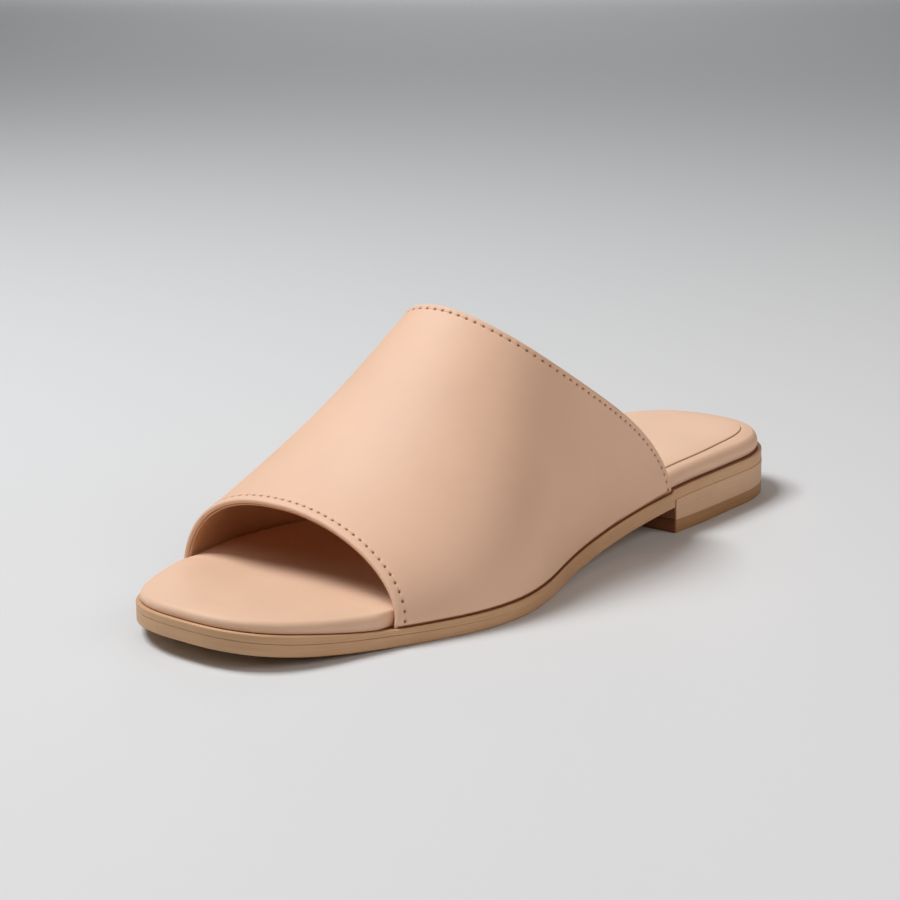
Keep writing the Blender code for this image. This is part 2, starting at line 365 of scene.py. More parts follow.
@dataclass(frozen=True)
class EdgeStack:
    """Fibreboard and leather edge, trimmed, waxed and burnished: matt tan with fine lines along the layers.

    It reads marks: x is the run along the edge and y the height on it, in metres, z painted shade.
    """

    name: str
    colour: str
    dark: str
    # colour of painted shade in the joints under the parts above and on the front of the heel
    painted_shade: str = "#824E2C"
    roughness: float = 0.55
    roughness_change: float = 0.08
    line_mm: float = 0.3
    streak_mm: float = 22.0
    cloud_mm: float = 14.0
    cloud_share: float = 0.3  # share of wide clouds in its tone, beside the fine lines
    tone_span: Pair = (0.32, 0.68)
    line_depth_mm: float = 0.05
    line_strength: float = 0.25

    def material(self) -> Material:
        """Builds the material."""
        material, tree, shader = new_material(self.name)
        marks = add_node(tree, "Attribute", attribute_name=MARKS).outputs["Vector"]
        shaded = add_node(tree, "SeparateXYZ", {0: marks}).outputs["Z"]
        scale = (per_metre(self.streak_mm), per_metre(self.line_mm), 0)
        stretch = add_node(tree, "Mapping", {"Vector": marks, "Scale": scale}).outputs[0]
        sized = {"Vector": stretch, "Scale": 1.0, "Detail": 3.0}
        lines = add_node(tree, "TexNoise", sized).outputs["Fac"]
        place = add_node(tree, "TexCoord").outputs["Object"]
        sized = {"Vector": place, "Scale": per_metre(self.cloud_mm), "Detail": 2.0}
        cloud = add_node(tree, "TexNoise", sized).outputs["Fac"]
        mixed = add_node(tree, "MixRGB", {0: self.cloud_share, 1: lines, 2: cloud}).outputs["Color"]
        tone = add_node(tree, "ValToRGB", {0: mixed})
        for stop, at, paint in zip(tone.color_ramp.elements, self.tone_span, (self.dark, self.colour)):
            stop.position = at
            stop.color = linear(paint)
        # painted shade where mark z is set
        paints = {0: shaded, 1: tone.outputs["Color"], 2: linear(self.painted_shade)}
        colour = add_node(tree, "MixRGB", paints).outputs["Color"]
        low, high = self.roughness - self.roughness_change, self.roughness + self.roughness_change
        gloss = add_node(tree, "MapRange", {0: lines, 3: low, 4: high}).outputs[0]
        grain = {"Strength": self.line_strength, "Distance": self.line_depth_mm * MM, "Height": lines}
        bump = add_node(tree, "Bump", grain).outputs["Normal"]
        feed(tree, shader, {"Base Color": colour, "Roughness": gloss, "Normal": bump, "IOR": 1.5})
        return material


@dataclass(frozen=True)
class BondedThread:
    """Bonded polyester thread, twisted from three plies: a soft shine with slanting ply lines."""

    name: str = "bonded_thread"
    colour: str = "#F0C8AA"
    dark: str = "#E4B797"
    ply_mm: float = 0.3

    def material(self) -> Material:
        """Builds the material."""
        material, tree, shader = new_material(self.name)
        place = add_node(tree, "TexCoord").outputs["Object"]
        sized = {"Vector": place, "Scale": per_metre(self.ply_mm) / WAVE_PHASE, "Distortion": 1.0}
        plies = add_node(tree, "TexWave", sized, bands_direction="DIAGONAL").outputs["Fac"]
        paints = {0: plies, 1: linear(self.dark), 2: linear(self.colour)}
        colour = add_node(tree, "MixRGB", paints).outputs["Color"]
        feed(tree, shader, {"Base Color": colour, "Roughness": 0.5, "IOR": 1.5})
        return material


NUDE_CALF = CalfLeather("nude_calf_leather", "#E8C0A4")
FOOTBED_CALF = CalfLeather("nude_footbed_leather", "#E6C0A4", roughness=0.6)
# The lining's deep orange tan is partly painted shade: it is darker and more saturated than the nude leather,
# to match the deep shade inside the band.
SHADED_LINING_CALF = CalfLeather("lining_leather_painted_shade", "#CF9C71", roughness=0.65)
SOLE_BOARD = EdgeStack("waxed_sole_edge", "#D2A982", "#C3986F")
HEEL_STACK = EdgeStack("stacked_heel_board", "#D8B28F", "#CAA480")
LIFT_RUBBER = EdgeStack("brown_lift_rubber", "#AE8253", "#9C7246", line_mm=0.6)


@dataclass(frozen=True)
class SoleStation:
    """Edge of the sole at a station: half widths on both sides, and depth of the joint of its two layers."""

    x: float
    lateral: float
    medial: float
    joint: float


SOLE_STATIONS = tuple(
    SoleStation(*row)
    for row in (
        (0.0, 30.2, 30.2, 4.2),
        (30.0, 30.2, 30.2, 3.9),
        (62.0, 31.5, 30.2, 3.5),
        (100.0, 30.8, 28.6, 3.3),
        (135.0, 35.0, 33.4, 3.2),
        (165.0, 43.2, 43.0, 3.1),
        (190.0, 41.2, 50.0, 3.0),
        (215.0, 32.4, 48.2, 2.6),
        (255.0, 29.8, 40.6, 2.4),
    )
)


@dataclass
class Last:
    """The form that the sandal is made on: outline and profile of its sole."""

    length: float = 255.0
    sole_thick: float = 5.9
    heel_height: float = 15.1
    toe_spring: float = 5.4
    arch_front: float = 155.0
    arch_back: float = 56.0
    spring_start: float = 201.0
    heel_cap: float = 34.0
    heel_power: float = 2.35
    toe_cap: float = 53.5
    toe_power: float = 2.7
    seat_cut: float = 1.0  # the band stands in a cut of this depth in the midsole's upper edge
    seat_span: Pair = (74.8, 240.0)
    seat_skew: float = 3.2  # it starts this much further forward on the medial side
    seat_turn: float = 34.0  # width over which its start changes from side to side
    seat_fade: Pair = (1.2, 26.0)  # lengths over which the cut ends
    stations: tuple[SoleStation, ...] = SOLE_STATIONS

    def __post_init__(self) -> None:
        """Draws the curves of the table's columns."""
        self.lateral, self.medial, self.joint = curves(self.stations, "lateral", "medial", "joint")

    def end_cap(self, x: Array, heel_inset: float, toe_inset: float) -> Array:
        """Share of the full width that the round ends leave at x."""
        back = np.clip((self.heel_cap - x) / (self.heel_cap - heel_inset), 0, 1)
        front = np.clip((x - self.length + self.toe_cap) / (self.toe_cap - toe_inset), 0, 1)
        heel = (1 - back**self.heel_power) ** (1 / self.heel_power)
        toe = (1 - front**self.toe_power) ** (1 / self.toe_power)
        return heel * toe

    def sides(
        self, x: Array, inset: Array | float = 0.0, heel_inset: float = 0.0, toe_inset: float = 0.0
    ) -> tuple[Array, Array]:
        """Lateral and medial y of the outline.

        Args:
            x: Stations.
            inset: How far both sides are drawn in.
            heel_inset: How far the back end is drawn in.
            toe_inset: How far the toe end is drawn in.

        Returns:
            The lateral y and the medial y.
        """
        lateral = self.lateral(x) - inset
        medial = self.medial(x) - inset
        centre = (lateral - medial) / 2
        half = (lateral + medial) / 2 * self.end_cap(x, heel_inset, toe_inset)
        return centre + half, centre - half

    def board_top(self, x: Array) -> Array:
        """Height of the midsole's upper face."""
        board = change(x, (self.arch_front, self.arch_back), self.sole_thick, self.heel_height)
        spring = np.clip((x - self.spring_start) / (self.length - self.spring_start), 0, 1) ** 2
        return board + self.toe_spring * spring

    def seat(self, x: Array, y: Array) -> Array:
        """Height of the midsole's upper face with the cut that the band stands in."""
        back, front = self.seat_span
        fade_back, fade_front = self.seat_fade
        back = back + self.seat_skew * ease(0.5 - y / self.seat_turn)
        cut = ease((x - back) / fade_back) * ease((front - x) / fade_front)
        return self.board_top(x) - self.seat_cut * cut

    def joint_line(self, x: Array) -> Array:
        """Height of the joint under the midsole."""
        return self.board_top(x) - self.joint(x)


class Outline:
    """Outline of a layer, as pairs of points across the shoe, evenly spaced from back to front."""

    def __init__(
        self,
        sides: Callable[[Array], tuple[Array, Array]],
        span: Pair,
        count: int,
        cut_back: bool = False,
        cut_front: bool = False,
        corner: float = 0.0,
    ) -> None:
        """Samples the outline.

        Args:
            sides: Lateral and medial y at a station.
            span: First and last station.
            count: Pairs of points.
            cut_back: The back is cut straight across, and not round.
            cut_front: The front is cut straight across, and not round.
            corner: Radius of the corners at a straight front.
        """
        start, end = span
        sweep = np.linspace(0, 1, DENSE)
        if cut_front:
            dense = start + (end - start) * (1 - np.cos(np.pi / 2 * sweep))
        elif cut_back:
            dense = start + (end - start) * np.sin(np.pi / 2 * sweep)
        else:
            dense = start + (end - start) * (1 - np.cos(np.pi * sweep)) / 2
        run = sum(run_along(np.column_stack([dense, y])) for y in sides(dense)) / 2
        x = np.interp(np.linspace(0, run[-1], count), run, dense)
        x[0], x[-1] = start, end
        self.shrink = np.zeros(count)
        if corner:
            turn = np.radians([0, 30, 60, 90])
            x = np.concatenate([x[x < end - corner], end - corner * (1 - np.sin(turn))])
            self.shrink = np.concatenate([np.zeros(len(x) - len(turn)), corner * (1 - np.cos(turn))])
        self.run = np.interp(x, dense, run)
        lateral, medial = (np.column_stack([x, y]) for y in sides(x))
        self.points = {Side.LATERAL: lateral, Side.MEDIAL: medial}
        self.inward = {}
        for side, here, there in ((Side.LATERAL, lateral, medial), (Side.MEDIAL, medial, lateral)):
            first = 2 * here[0] - here[1] if cut_back else there[1]
            last = 2 * here[-1] - here[-2] if cut_front else there[-2]
            around = np.vstack([first, here, last])
            along = around[2:] - around[:-2]
            normal = np.column_stack([along[:, 1], -along[:, 0]]) * side.value
            straight = np.array([0.0, -side.value])
            if cut_back:
                normal[0] = straight
            if cut_front:
                normal[self.shrink > 0] = straight
                normal[-1] = straight
            self.inward[side] = unit(normal)

    def ring(self, side: Side, inset: Array | float) -> tuple[Array, Array]:
        """The x and the y of the points of one side, drawn in by an inset."""
        drawn = self.points[side] + self.inward[side] * np.atleast_1d(inset + self.shrink)[:, None]
        return drawn[:, 0], drawn[:, 1]


@dataclass(frozen=True)
class RimRow:
    """One row of a layer's rim, by its share of the wall's height and of the radii at foot and lip."""

    level: float
    margin: float = 0.0  # distance inside both radii
    foot_in: float = 0.0
    foot_up: float = 0.0
    lip_in: float = 0.0
    lip_down: float = 0.0


def rim_rows(steps: int = 4, wall_rows: int = 4) -> list[RimRow]:
    """Rows of a plain wall with a rounded foot and a rounded lip.

    Args:
        steps: Rows round each radius.
        wall_rows: Rows up the wall.

    Returns:
        The rows from the bottom face to the top face.
    """
    turns = [math.pi / 2 * i / steps for i in range(steps + 1)]
    levels = [i / (wall_rows + 1) for i in range(1, wall_rows + 1)]
    rows = [RimRow(0, margin=margin, foot_in=1) for margin in LOWER_MARGINS]
    rows += [RimRow(0, foot_in=1 - math.sin(a), foot_up=1 - math.cos(a)) for a in turns]
    rows += [RimRow(level, foot_up=1 - level, lip_down=level) for level in levels]
    rows += [RimRow(1, lip_in=1 - math.cos(a), lip_down=1 - math.sin(a)) for a in turns]
    return rows + [RimRow(1, margin=margin, lip_in=1) for margin in UPPER_MARGINS]


def close_ring(halves: dict[Side, Array], across: int, under_step: int = 1) -> Array:
    """Joins the two halves of a layer across its upper and its lower face.

    Args:
        halves: For each side, arrays by kind, row from the lower to the upper face, column and coordinate.
        across: Faces across the upper face.
        under_step: How many of them one face of the lower face spans.

    Returns:
        The arrays by kind, with rows that run right round the layer.
    """
    lateral, medial = halves[Side.LATERAL], halves[Side.MEDIAL][:, ::-1]
    shares = (np.arange(1, across) / across)[:, None, None]
    over = lateral[:, -1:] + (medial[:, :1] - lateral[:, -1:]) * shares
    under = medial[:, -1:] + (lateral[:, :1] - medial[:, -1:]) * shares[::under_step]
    return np.concatenate([lateral, over, medial, under, lateral[:, :1]], axis=1)


def same(size: float) -> Height:
    """A size that is the same at every station."""
    return lambda x: np.full_like(x, size)


@dataclass(frozen=True)
class Layer:
    """Faces and edges of one layer of the sole, as functions of the station."""

    bottom: Height
    top: Callable[[Array, Array], Array]
    foot: Height  # radius of its lower edge
    lip: Height  # radius of its upper edge
    unshaded: Height = np.zeros_like  # width of the margin of its upper face that is free of painted shade
    front_shade: float = 0.0  # painted shade on a front that is cut straight

    def mesh(self, outline: Outline, across: int = 8) -> BMesh:
        """Lofts the layer.

        Args:
            outline: Its outline.
            across: Faces across the upper and the lower face.

        Returns:
            The closed bmesh, with run, height and painted shade as its marks.
        """
        halves = {}
        for side in Side:
            stations = outline.points[side][:, 0]
            foot, lip = self.foot(stations), self.lip(stations)
            places, marks = [], []
            for row in rim_rows():
                inset = row.margin + row.foot_in * foot + row.lip_in * lip
                x, y = outline.ring(side, inset)
                low, high = self.bottom(x) + outline.shrink, self.top(x, y) - outline.shrink
                z = low + (high - low) * row.level + row.foot_up * foot - row.lip_down * lip
                # painted shade on the upper face inside its margin, where the next part hides a crevice
                painted_shade = ease((inset - self.unshaded(x)) / SHADE_FADE) * (row.level == 1)
                painted_shade = np.maximum(painted_shade, self.front_shade * (outline.shrink > 0))
                places.append(stack(x, y, z))
                marks.append(stack(outline.run * MM, (z - self.bottom(x)) * MM, painted_shade))
            halves[side] = np.stack([np.stack(places), np.stack(marks)])
        return loft(*close_ring(halves, across))


@dataclass
class Sole:
    """The layered sole: midsole, outsole, heel block and lift."""

    last: Last
    columns: int = 340
    heel_columns: int = 150
    breast_x: float = 74.5
    heel_proud: float = 0.15
    lift_front: float = 4.3
    lift_back: float = 3.7
    lip: float = 0.6  # radius of the sole's upper edge
    tread_round: float = 0.35  # radius of its lower edge
    groove_round: float = 0.16  # radii and gap of the groove between the layers at the toe
    groove_gap: float = 0.05
    joint_round: float = 0.03  # radii and gap of a closed joint
    joint_gap: float = 0.015
    groove_fade: Pair = (170.0, 215.0)  # the groove closes between these stations
    heel_joint: Pair = (74.0, 40.0)  # the heel's joint opens a little between these
    heel_joint_round: float = 0.055
    breast_gap: float = 0.06
    breast_corner: float = 0.5
    breast_shade: float = 0.9  # painted shade on the front of the heel
    band_span: Pair = (76.0, 212.0)
    back_unshaded: float = 1.3  # painted shade in the joint under the footbed and band starts this far in at the back of the heel
    back_span: Pair = (30.0, 6.0)
    heel_unshaded: float = 0.12  # along the heel
    band_unshaded: float = 0.5  # beside the band
    toe_unshaded: float = 1.3  # and in front of it
    unshaded_blend: float = 4.0  # length over which that changes at the band

    def opening(self, x: Array, closed: float, opened: float) -> Array:
        """A size of the groove between the layers, which is open at the toe and closed at the waist."""
        return change(x, self.groove_fade, closed, opened)

    def joint_rim(self, x: Array) -> Array:
        """Radius of the edges at the joint under the midsole."""
        behind = change(x, self.heel_joint, 0.0, self.heel_joint_round - self.joint_round)
        return self.opening(x, self.joint_round, self.groove_round) + behind

    def unshaded_margin(self, x: Array) -> Array:
        """Width of the midsole's margin that is free of painted shade."""
        start, end = self.band_span
        beside = ease((x - start) / self.unshaded_blend + 0.5)
        before = ease((x - end) / self.unshaded_blend + 0.5)
        margin = change(x, self.back_span, self.heel_unshaded, self.back_unshaded)
        margin = margin + (self.band_unshaded - self.heel_unshaded) * beside
        return margin + (self.toe_unshaded - self.band_unshaded) * before

    def lift_top(self, x: Array) -> Array:
        """Height of the joint between the heel block and its lift."""
        return self.lift_back + (self.lift_front - self.lift_back) * x / self.breast_x

    def heel_sides(self, x: Array) -> tuple[Array, Array]:
        """Sides of the heel, a little outside the midsole."""
        return self.last.sides(x, -self.heel_proud, -self.heel_proud)

    def build_board(self) -> None:
        """Builds and dresses the two layers of the sole."""
        last = self.last
        board = SOLE_BOARD.material()
        midsole = Layer(
            bottom=lambda x: last.joint_line(x) + self.opening(x, self.joint_gap, self.groove_gap),
            top=last.seat,
            foot=self.joint_rim,
            lip=same(self.lip),
            unshaded=self.unshaded_margin,
        )
        outsole = Layer(
            bottom=lambda x: last.board_top(x) - last.sole_thick,
            top=lambda x, y: last.joint_line(x),
            foot=same(self.tread_round),
            lip=self.joint_rim,
        )
        full = Outline(last.sides, (0.0, last.length), self.columns)
        front_span = (self.breast_x + self.breast_gap, last.length)
        front = Outline(last.sides, front_span, self.columns, cut_back=True)
        add_piece("midsole_board", midsole.mesh(full), board, Slot.SOLE, "midsole")
        add_piece("outsole_board", outsole.mesh(front), board, Slot.SOLE, "outsole")

    def build_heel(self) -> None:
        """Builds and dresses the heel block and its lift."""
        block = Layer(
            bottom=lambda x: self.lift_top(x) + self.joint_gap,
            top=lambda x, y: self.last.joint_line(x),
            foot=same(self.joint_round),
            lip=self.joint_rim,
            front_shade=self.breast_shade,
        )
        lift = Layer(
            bottom=np.zeros_like,
            top=lambda x, y: self.lift_top(x),
            foot=same(self.tread_round),
            lip=same(self.joint_round),
            front_shade=self.breast_shade,
        )
        outline = Outline(
            self.heel_sides,
            (-self.heel_proud, self.breast_x),
            self.heel_columns,
            cut_front=True,
            corner=self.breast_corner,
        )
        add_piece("heel_stack", block.mesh(outline), HEEL_STACK.material(), Slot.HEEL, "heel_block")
        add_piece("heel_top_lift", lift.mesh(outline), LIFT_RUBBER.material(), Slot.LIFT, "heel_lift")

    def build(self) -> None:
        """Builds and dresses all layers."""
        self.build_board()
        self.build_heel()


@dataclass
class Footbed:
    """Foam insole wrapped in leather: thinner at the toe, with a rolled edge and a raised pad at the heel."""

    last: Last
    columns: int = 400
    heel_thick: float = 6.57
    toe_thick: float = 3.87
    taper: Pair = (88.0, 224.0)
    seat_gap: float = 0.03
    inset_heel: float = 1.4
    inset_band: float = 3.3
    inset_toe: float = 1.15
    band_back: float = 78.6
    band_front: float = 210.5
    blend_back: float = 4.6  # lengths over which the inset changes
    blend_front: float = 7.0
    arch_stations: Steps = (70.0, 88.0, 106.0, 124.0, 145.0, 170.0, 190.0, 205.0, 219.0, 229.0, 243.0)
    arch_rises: Steps = (0.0, 0.4, 1.4, 2.4, 2.9, 3.1, 2.8, 2.4, 1.75, 0.95, 0.0)
    arch_width: float = 30.0  # the arch rises over this width up to the medial edge
    bulge_share: float = 0.4  # share of the thickness at which the edge is widest
    under_heel: float = 0.6  # its edge turns in this far underneath
    under_toe: float = 0.4
    roll_heel: float = 2.05  # width of the rolled edge
    roll_toe: float = 1.9
    roll_power: float = 2.1
    roll_rows: int = 12
    crown_lateral: Pair = (1.9, 0.5)  # fall of the top to the edge at the heel and the toe
    crown_medial: Pair = (0.75, 1.3)
    crown_width: float = 11.0
    line_inset: float = 3.75
    line_inset_back: float = 5.6
    line_turn: Pair = (16.0, 62.0)  # its distance from the edge changes between these stations
    line_depth: float = 0.2
    line_width: float = 0.17
    line_fade: Pair = (120.0, 145.0)  # it ends under the band
    line_shade: float = 0.6  # how dark the painted shade in the pressed line is
    line_rows: Steps = (-0.4, -0.26, -0.13, 0.0, 0.13, 0.26, 0.4, 0.7, 1.6, 3.2, 5.2, 7.4)
    flat_rows: Steps = (0.33, 0.67)  # shares of the way from the roll to the line
    under_rows: Steps = (6.0, 2.5)  # rows on the under side, by their distance from the edge
    pad_rise: float = 0.25  # height of the painted shade along its foot, over the gap above the midsole
    painted_shade: float = 0.12  # height of the cement stain along its foot
    shade_fade: float = 0.15
    across: int = 30
    under_step: int = 3
    fill: float = 0.75

    def inset(self, x: Array) -> Array:
        """Distance of its edge from the midsole's edge, away from the band."""
        return self.toward_toe(x, self.inset_heel, self.inset_toe)

    def sides(self, x: Array) -> tuple[Array, Array]:
        """Sides of the footbed as they would be without the band."""
        return self.last.sides(x, self.inset(x), self.inset_heel, self.inset_toe)

    def nearness(self, inset: Array) -> Array:
        """How near a point is to the edge, from 1 on it to 0 on the flat top."""
        return 1 - np.clip(inset / self.crown_width, 0, 1)

    def tuck(self, x: Array, inset: Array) -> Array:
        """How far a row is drawn in where the band stands beside it, less and less away from the edge."""
        beside = ease((x - self.band_back) / self.blend_back + 1)
        behind = ease((self.band_front - x) / self.blend_front + 1)
        return (self.inset_band - self.inset(x)) * beside * behind * self.nearness(inset) ** 3

    def toward_toe(self, x: Array, heel: float, toe: float) -> Array:
        """A size that changes from the heel to the toe as the foam tapers."""
        return change(x, self.taper, heel, toe)

    def arch(self, x: Array, y: Array) -> Array:
        """Rise of the top under the arch of the foot."""
        stations, rises = self.arch_stations, self.arch_rises
        along = np.maximum(NaturalCurve(stations, rises)(np.clip(x, stations[0], stations[-1])), 0)
        from_medial = y - self.sides(np.clip(x, self.inset_heel, self.last.length - self.inset_toe))[1]
        return along * ease(1 - from_medial / self.arch_width)

    def crown(self, x: Array, inset: Array, inward: Array) -> Array:
        """Fall of the crowned top at distances from the edge, by the edge's inward directions."""
        lateral = self.toward_toe(x, *self.crown_lateral)
        medial = self.toward_toe(x, *self.crown_medial)
        return (lateral + (medial - lateral) * (1 + inward[:, 1]) / 2) * self.nearness(inset) ** 2

    def line(self, x: Array) -> Array:
        """Distance of the pressed line from the edge, wider round the back."""
        return change(x, self.line_turn, self.line_inset_back, self.line_inset)

    def rows(self, x: Array) -> list[tuple[Array, Array]]:
        """Distance inside the edge, and share of the thickness, of each row from the under side to the top.

        Args:
            x: Stations of the edge.

        Returns:
            A pair for each row.
        """
        roll = self.toward_toe(x, self.roll_heel, self.roll_toe)
        under = self.toward_toe(x, self.under_heel, self.under_toe)
        turns = [math.pi / 2 * i / self.roll_rows for i in range(self.roll_rows + 1)]
        level = np.zeros_like(x)
        rows = [(level + inset, level) for inset in self.under_rows]
        for a in turns:
            rows.append((under * (1 - math.sin(a)), level + self.bulge_share * (1 - math.cos(a))))
        power = 2 / self.roll_power
        for a in turns[1:]:
            share = self.bulge_share + (1 - self.bulge_share) * math.sin(a) ** power
            rows.append((roll * (1 - math.cos(a) ** power), level + share))
        line = self.line(x)
        flat = line + self.line_rows[0] - roll
        rows += [(roll + flat * share, level + 1) for share in self.flat_rows]
        return rows + [(line + step, level + 1) for step in self.line_rows]

    def build(self) -> None:
        """Builds and dresses the footbed."""
        span = (self.inset_heel, self.last.length - self.inset_toe)
        outline = Outline(self.sides, span, self.columns)
        halves = {}
        for side in Side:
            stations = outline.points[side][:, 0]
            fade = change(stations, self.line_fade, 1.0, 0.0)
            places, marks, levels = [], [], []
            for inset, share in self.rows(stations):
                x, y = outline.ring(side, inset + self.tuck(stations, inset))
                aside = inset - self.line(stations)
                shown = fade * (share >= 1)
                pressed = bell(aside, self.line_width) * shown
                raised = ease(aside / self.line_width) * shown
                thick = self.toward_toe(x, self.heel_thick, self.toe_thick)
                thick = thick - self.crown(x, inset, outline.inward[side])
                relief = self.pad_rise * raised - self.line_depth * pressed
                # painted shade along the footbed's foot, which darkens the gap above the midsole
                foot = ease((self.painted_shade + self.shade_fade - thick * share) / self.shade_fade)
                bottom = self.last.seat(x, y) + self.seat_gap
                top = self.last.board_top(x) + self.seat_gap + thick
                places.append(stack(x, y, bottom + (top - bottom) * share + relief))
                # x holds painted shade in the pressed line, z painted shade along the foot
                marks.append(stack(self.line_shade * pressed, 0.0, foot))
                levels.append(stack(share, share, share))
            halves[side] = np.stack([np.stack(places), np.stack(marks), np.stack(levels)])
        points, marks, levels = close_ring(halves, self.across, self.under_step)
        points[..., 2] += self.arch(points[..., 0], points[..., 1]) * levels[..., 2]
        mesh = loft(points, marks)
        piece = add_piece("footbed_pad", mesh, FOOTBED_CALF.material(), Slot.FOOTBED, "footbed")


@dataclass(frozen=True)
class BandSection:
    """Cross section of the band: its ridge, and the power of the curve from the ridge down to each side."""

    x: float
    ridge_z: float
    ridge_y: float
    lateral_power: float
    medial_power: float


@dataclass(frozen=True)
class BandEdge:
    """Cut edge of the band: where it meets the ridge and the sides, and how it sweeps between them."""

    ridge_x: float
    lateral_x: float
    medial_x: float
    lateral_sweep: float
    medial_sweep: float

    def station(self, from_ridge: Array, lateral_side: Array) -> Array:
        """Station of the edge by the share of the way from the ridge down to a side."""
        lateral = self.ridge_x + (self.lateral_x - self.ridge_x) * from_ridge**self.lateral_sweep
        medial = self.ridge_x + (self.medial_x - self.ridge_x) * from_ridge**self.medial_sweep
        return np.where(lateral_side, lateral, medial)


BAND_SECTIONS = tuple(
    BandSection(*row)
    for row in (
        (75.0, 122.8, -2.5, 2.8, 2.4),
        (105.0, 105.3, -5.0, 2.4, 2.6),
        (140.0, 81.4, -8.0, 2.0, 2.7),
        (170.0, 55.2, -10.5, 1.9, 2.7),
        (200.0, 34.4, -13.5, 1.85, 2.8),
        (220.0, 27.2, -15.0, 1.85, 2.8),
    )
)
TOE_EDGE = BandEdge(ridge_x=208.0, lateral_x=212.0, medial_x=213.5, lateral_sweep=2.3, medial_sweep=1.6)
THROAT_EDGE = BandEdge(ridge_x=143.0, lateral_x=75.3, medial_x=78.5, lateral_sweep=2.48, medial_sweep=2.6)


class BandEnd(Enum):
    """The two cut edges of the band, by their place along it."""

    THROAT = 0
    TOE = 1


@dataclass
class BandForm:
    """Outer face of the band, as in the part, with ways to walk over it in millimetres."""

    last: Last
    inset: float = 0.7  # from the edge of the midsole
    seat_gap: float = 0.15
    row_crowding: float = 1.35
    least_crossing: float = 0.3  # least sine of the angle at which a column may cross an edge
    nudge: float = 1e-4

    def __post_init__(self) -> None:
        """Draws the curves of the table's columns."""
        self.ridge_z, self.ridge_y = curves(BAND_SECTIONS, "ridge_z", "ridge_y")
        self.lateral_power, self.medial_power = curves(BAND_SECTIONS, "lateral_power", "medial_power")

    def surface(self, along: Array, around: Array) -> Array:
        """Points of the outer face.

        Args:
            along: From 0 at the throat to 1 at the toe edge.
            around: From 0 at the medial side over the ridge to 1 at the lateral side.

        Returns:
            The points, with coordinates on the last axis.
        """
        lateral_side = around >= 0.5
        rise = (1 - np.abs(2 * around - 1)) ** self.row_crowding
        angle = np.pi / 2 * rise
        toe = TOE_EDGE.station(1 - rise, lateral_side)
        throat = THROAT_EDGE.station(1 - rise, lateral_side)
        x = throat + (toe - throat) * along
        side_y = np.where(lateral_side, *self.last.sides(x, self.inset))
        foot_z = self.last.seat(x, side_y) + self.seat_gap
        power = 2 / np.where(lateral_side, self.lateral_power(x), self.medial_power(x))
        outward = np.abs(np.cos(angle)) ** power
        upward = np.sin(angle) ** power
        y = self.ridge_y(x) + (side_y - self.ridge_y(x)) * outward
        return stack(x, y, foot_z + (self.ridge_z(x) - foot_z) * upward)

    def normals(self, along: Array, around: Array) -> Array:
        """Outward directions of the face, with the same arguments as the surface."""
        before, after = np.maximum(along - self.nudge, 0), np.minimum(along + self.nudge, 1)
        medial, lateral = np.maximum(around - self.nudge, 0), np.minimum(around + self.nudge, 1)
        forward = self.surface(after, around) - self.surface(before, around)
        sideways = self.surface(along, lateral) - self.surface(along, medial)
        return unit(np.cross(forward, sideways))

    def columns(self, count: int) -> Array:
        """Values of around that lie evenly spaced over both cut edges.

        Args:
            count: How many columns.

        Returns:
            The values, from the medial to the lateral side.
        """
        around = np.linspace(0, 1, DENSE)
        runs = [run_along(self.surface(np.full(DENSE, float(end.value)), around)) for end in BandEnd]
        run = sum(run / run[-1] for run in runs) / len(runs)
        return np.interp(np.linspace(0, 1, count), run, around)

    def crossing(self, end: BandEnd, around: Array) -> Array:
        """Sine of the angle between a cut edge and each column that meets it."""
        place = np.full(len(around), float(end.value))
        edge = unit(np.gradient(self.surface(place, around), axis=0))
        inner = abs(place - self.nudge)
        column = unit(self.surface(inner, around) - self.surface(place, around))
        return np.maximum(np.linalg.norm(np.cross(edge, column), axis=-1), self.least_crossing)

    def rows(
        self, around: Array, from_throat: Sequence[float], between: int, from_toe: Sequence[float]
    ) -> Array:
        """Places along each column of rows that keep a set distance from the cut edges.

        Args:
            around: The columns.
            from_throat: Distances of the first rows from the throat edge.
            between: Rows evenly spaced in the field between.
            from_toe: Distances of the last rows from the toe edge.

        Returns:
            Values of along, by row and column.
        """
        dense = np.linspace(0, 1, DENSE // 10)
        run = run_along(self.surface(dense[:, None], around[None, :]))
        near = np.array(from_throat)[:, None] / self.crossing(BandEnd.THROAT, around)
        far = run[-1] - np.array(from_toe)[:, None] / self.crossing(BandEnd.TOE, around)
        shares = (np.arange(1, between + 1) / (between + 1))[:, None]
        field = near[-1] + (far[0] - near[-1]) * shares
        wanted = np.concatenate([near, field, far])
        return np.column_stack([np.interp(wanted[:, i], run[:, i], dense) for i in range(len(around))])


@dataclass(frozen=True)
class StitchRow:
    """A row of stitches beside a cut edge."""

    end: BandEnd
    inset: float  # from the cut edge
    pitch: float
    first: float = 1.6  # height of the first hole over the band's foot


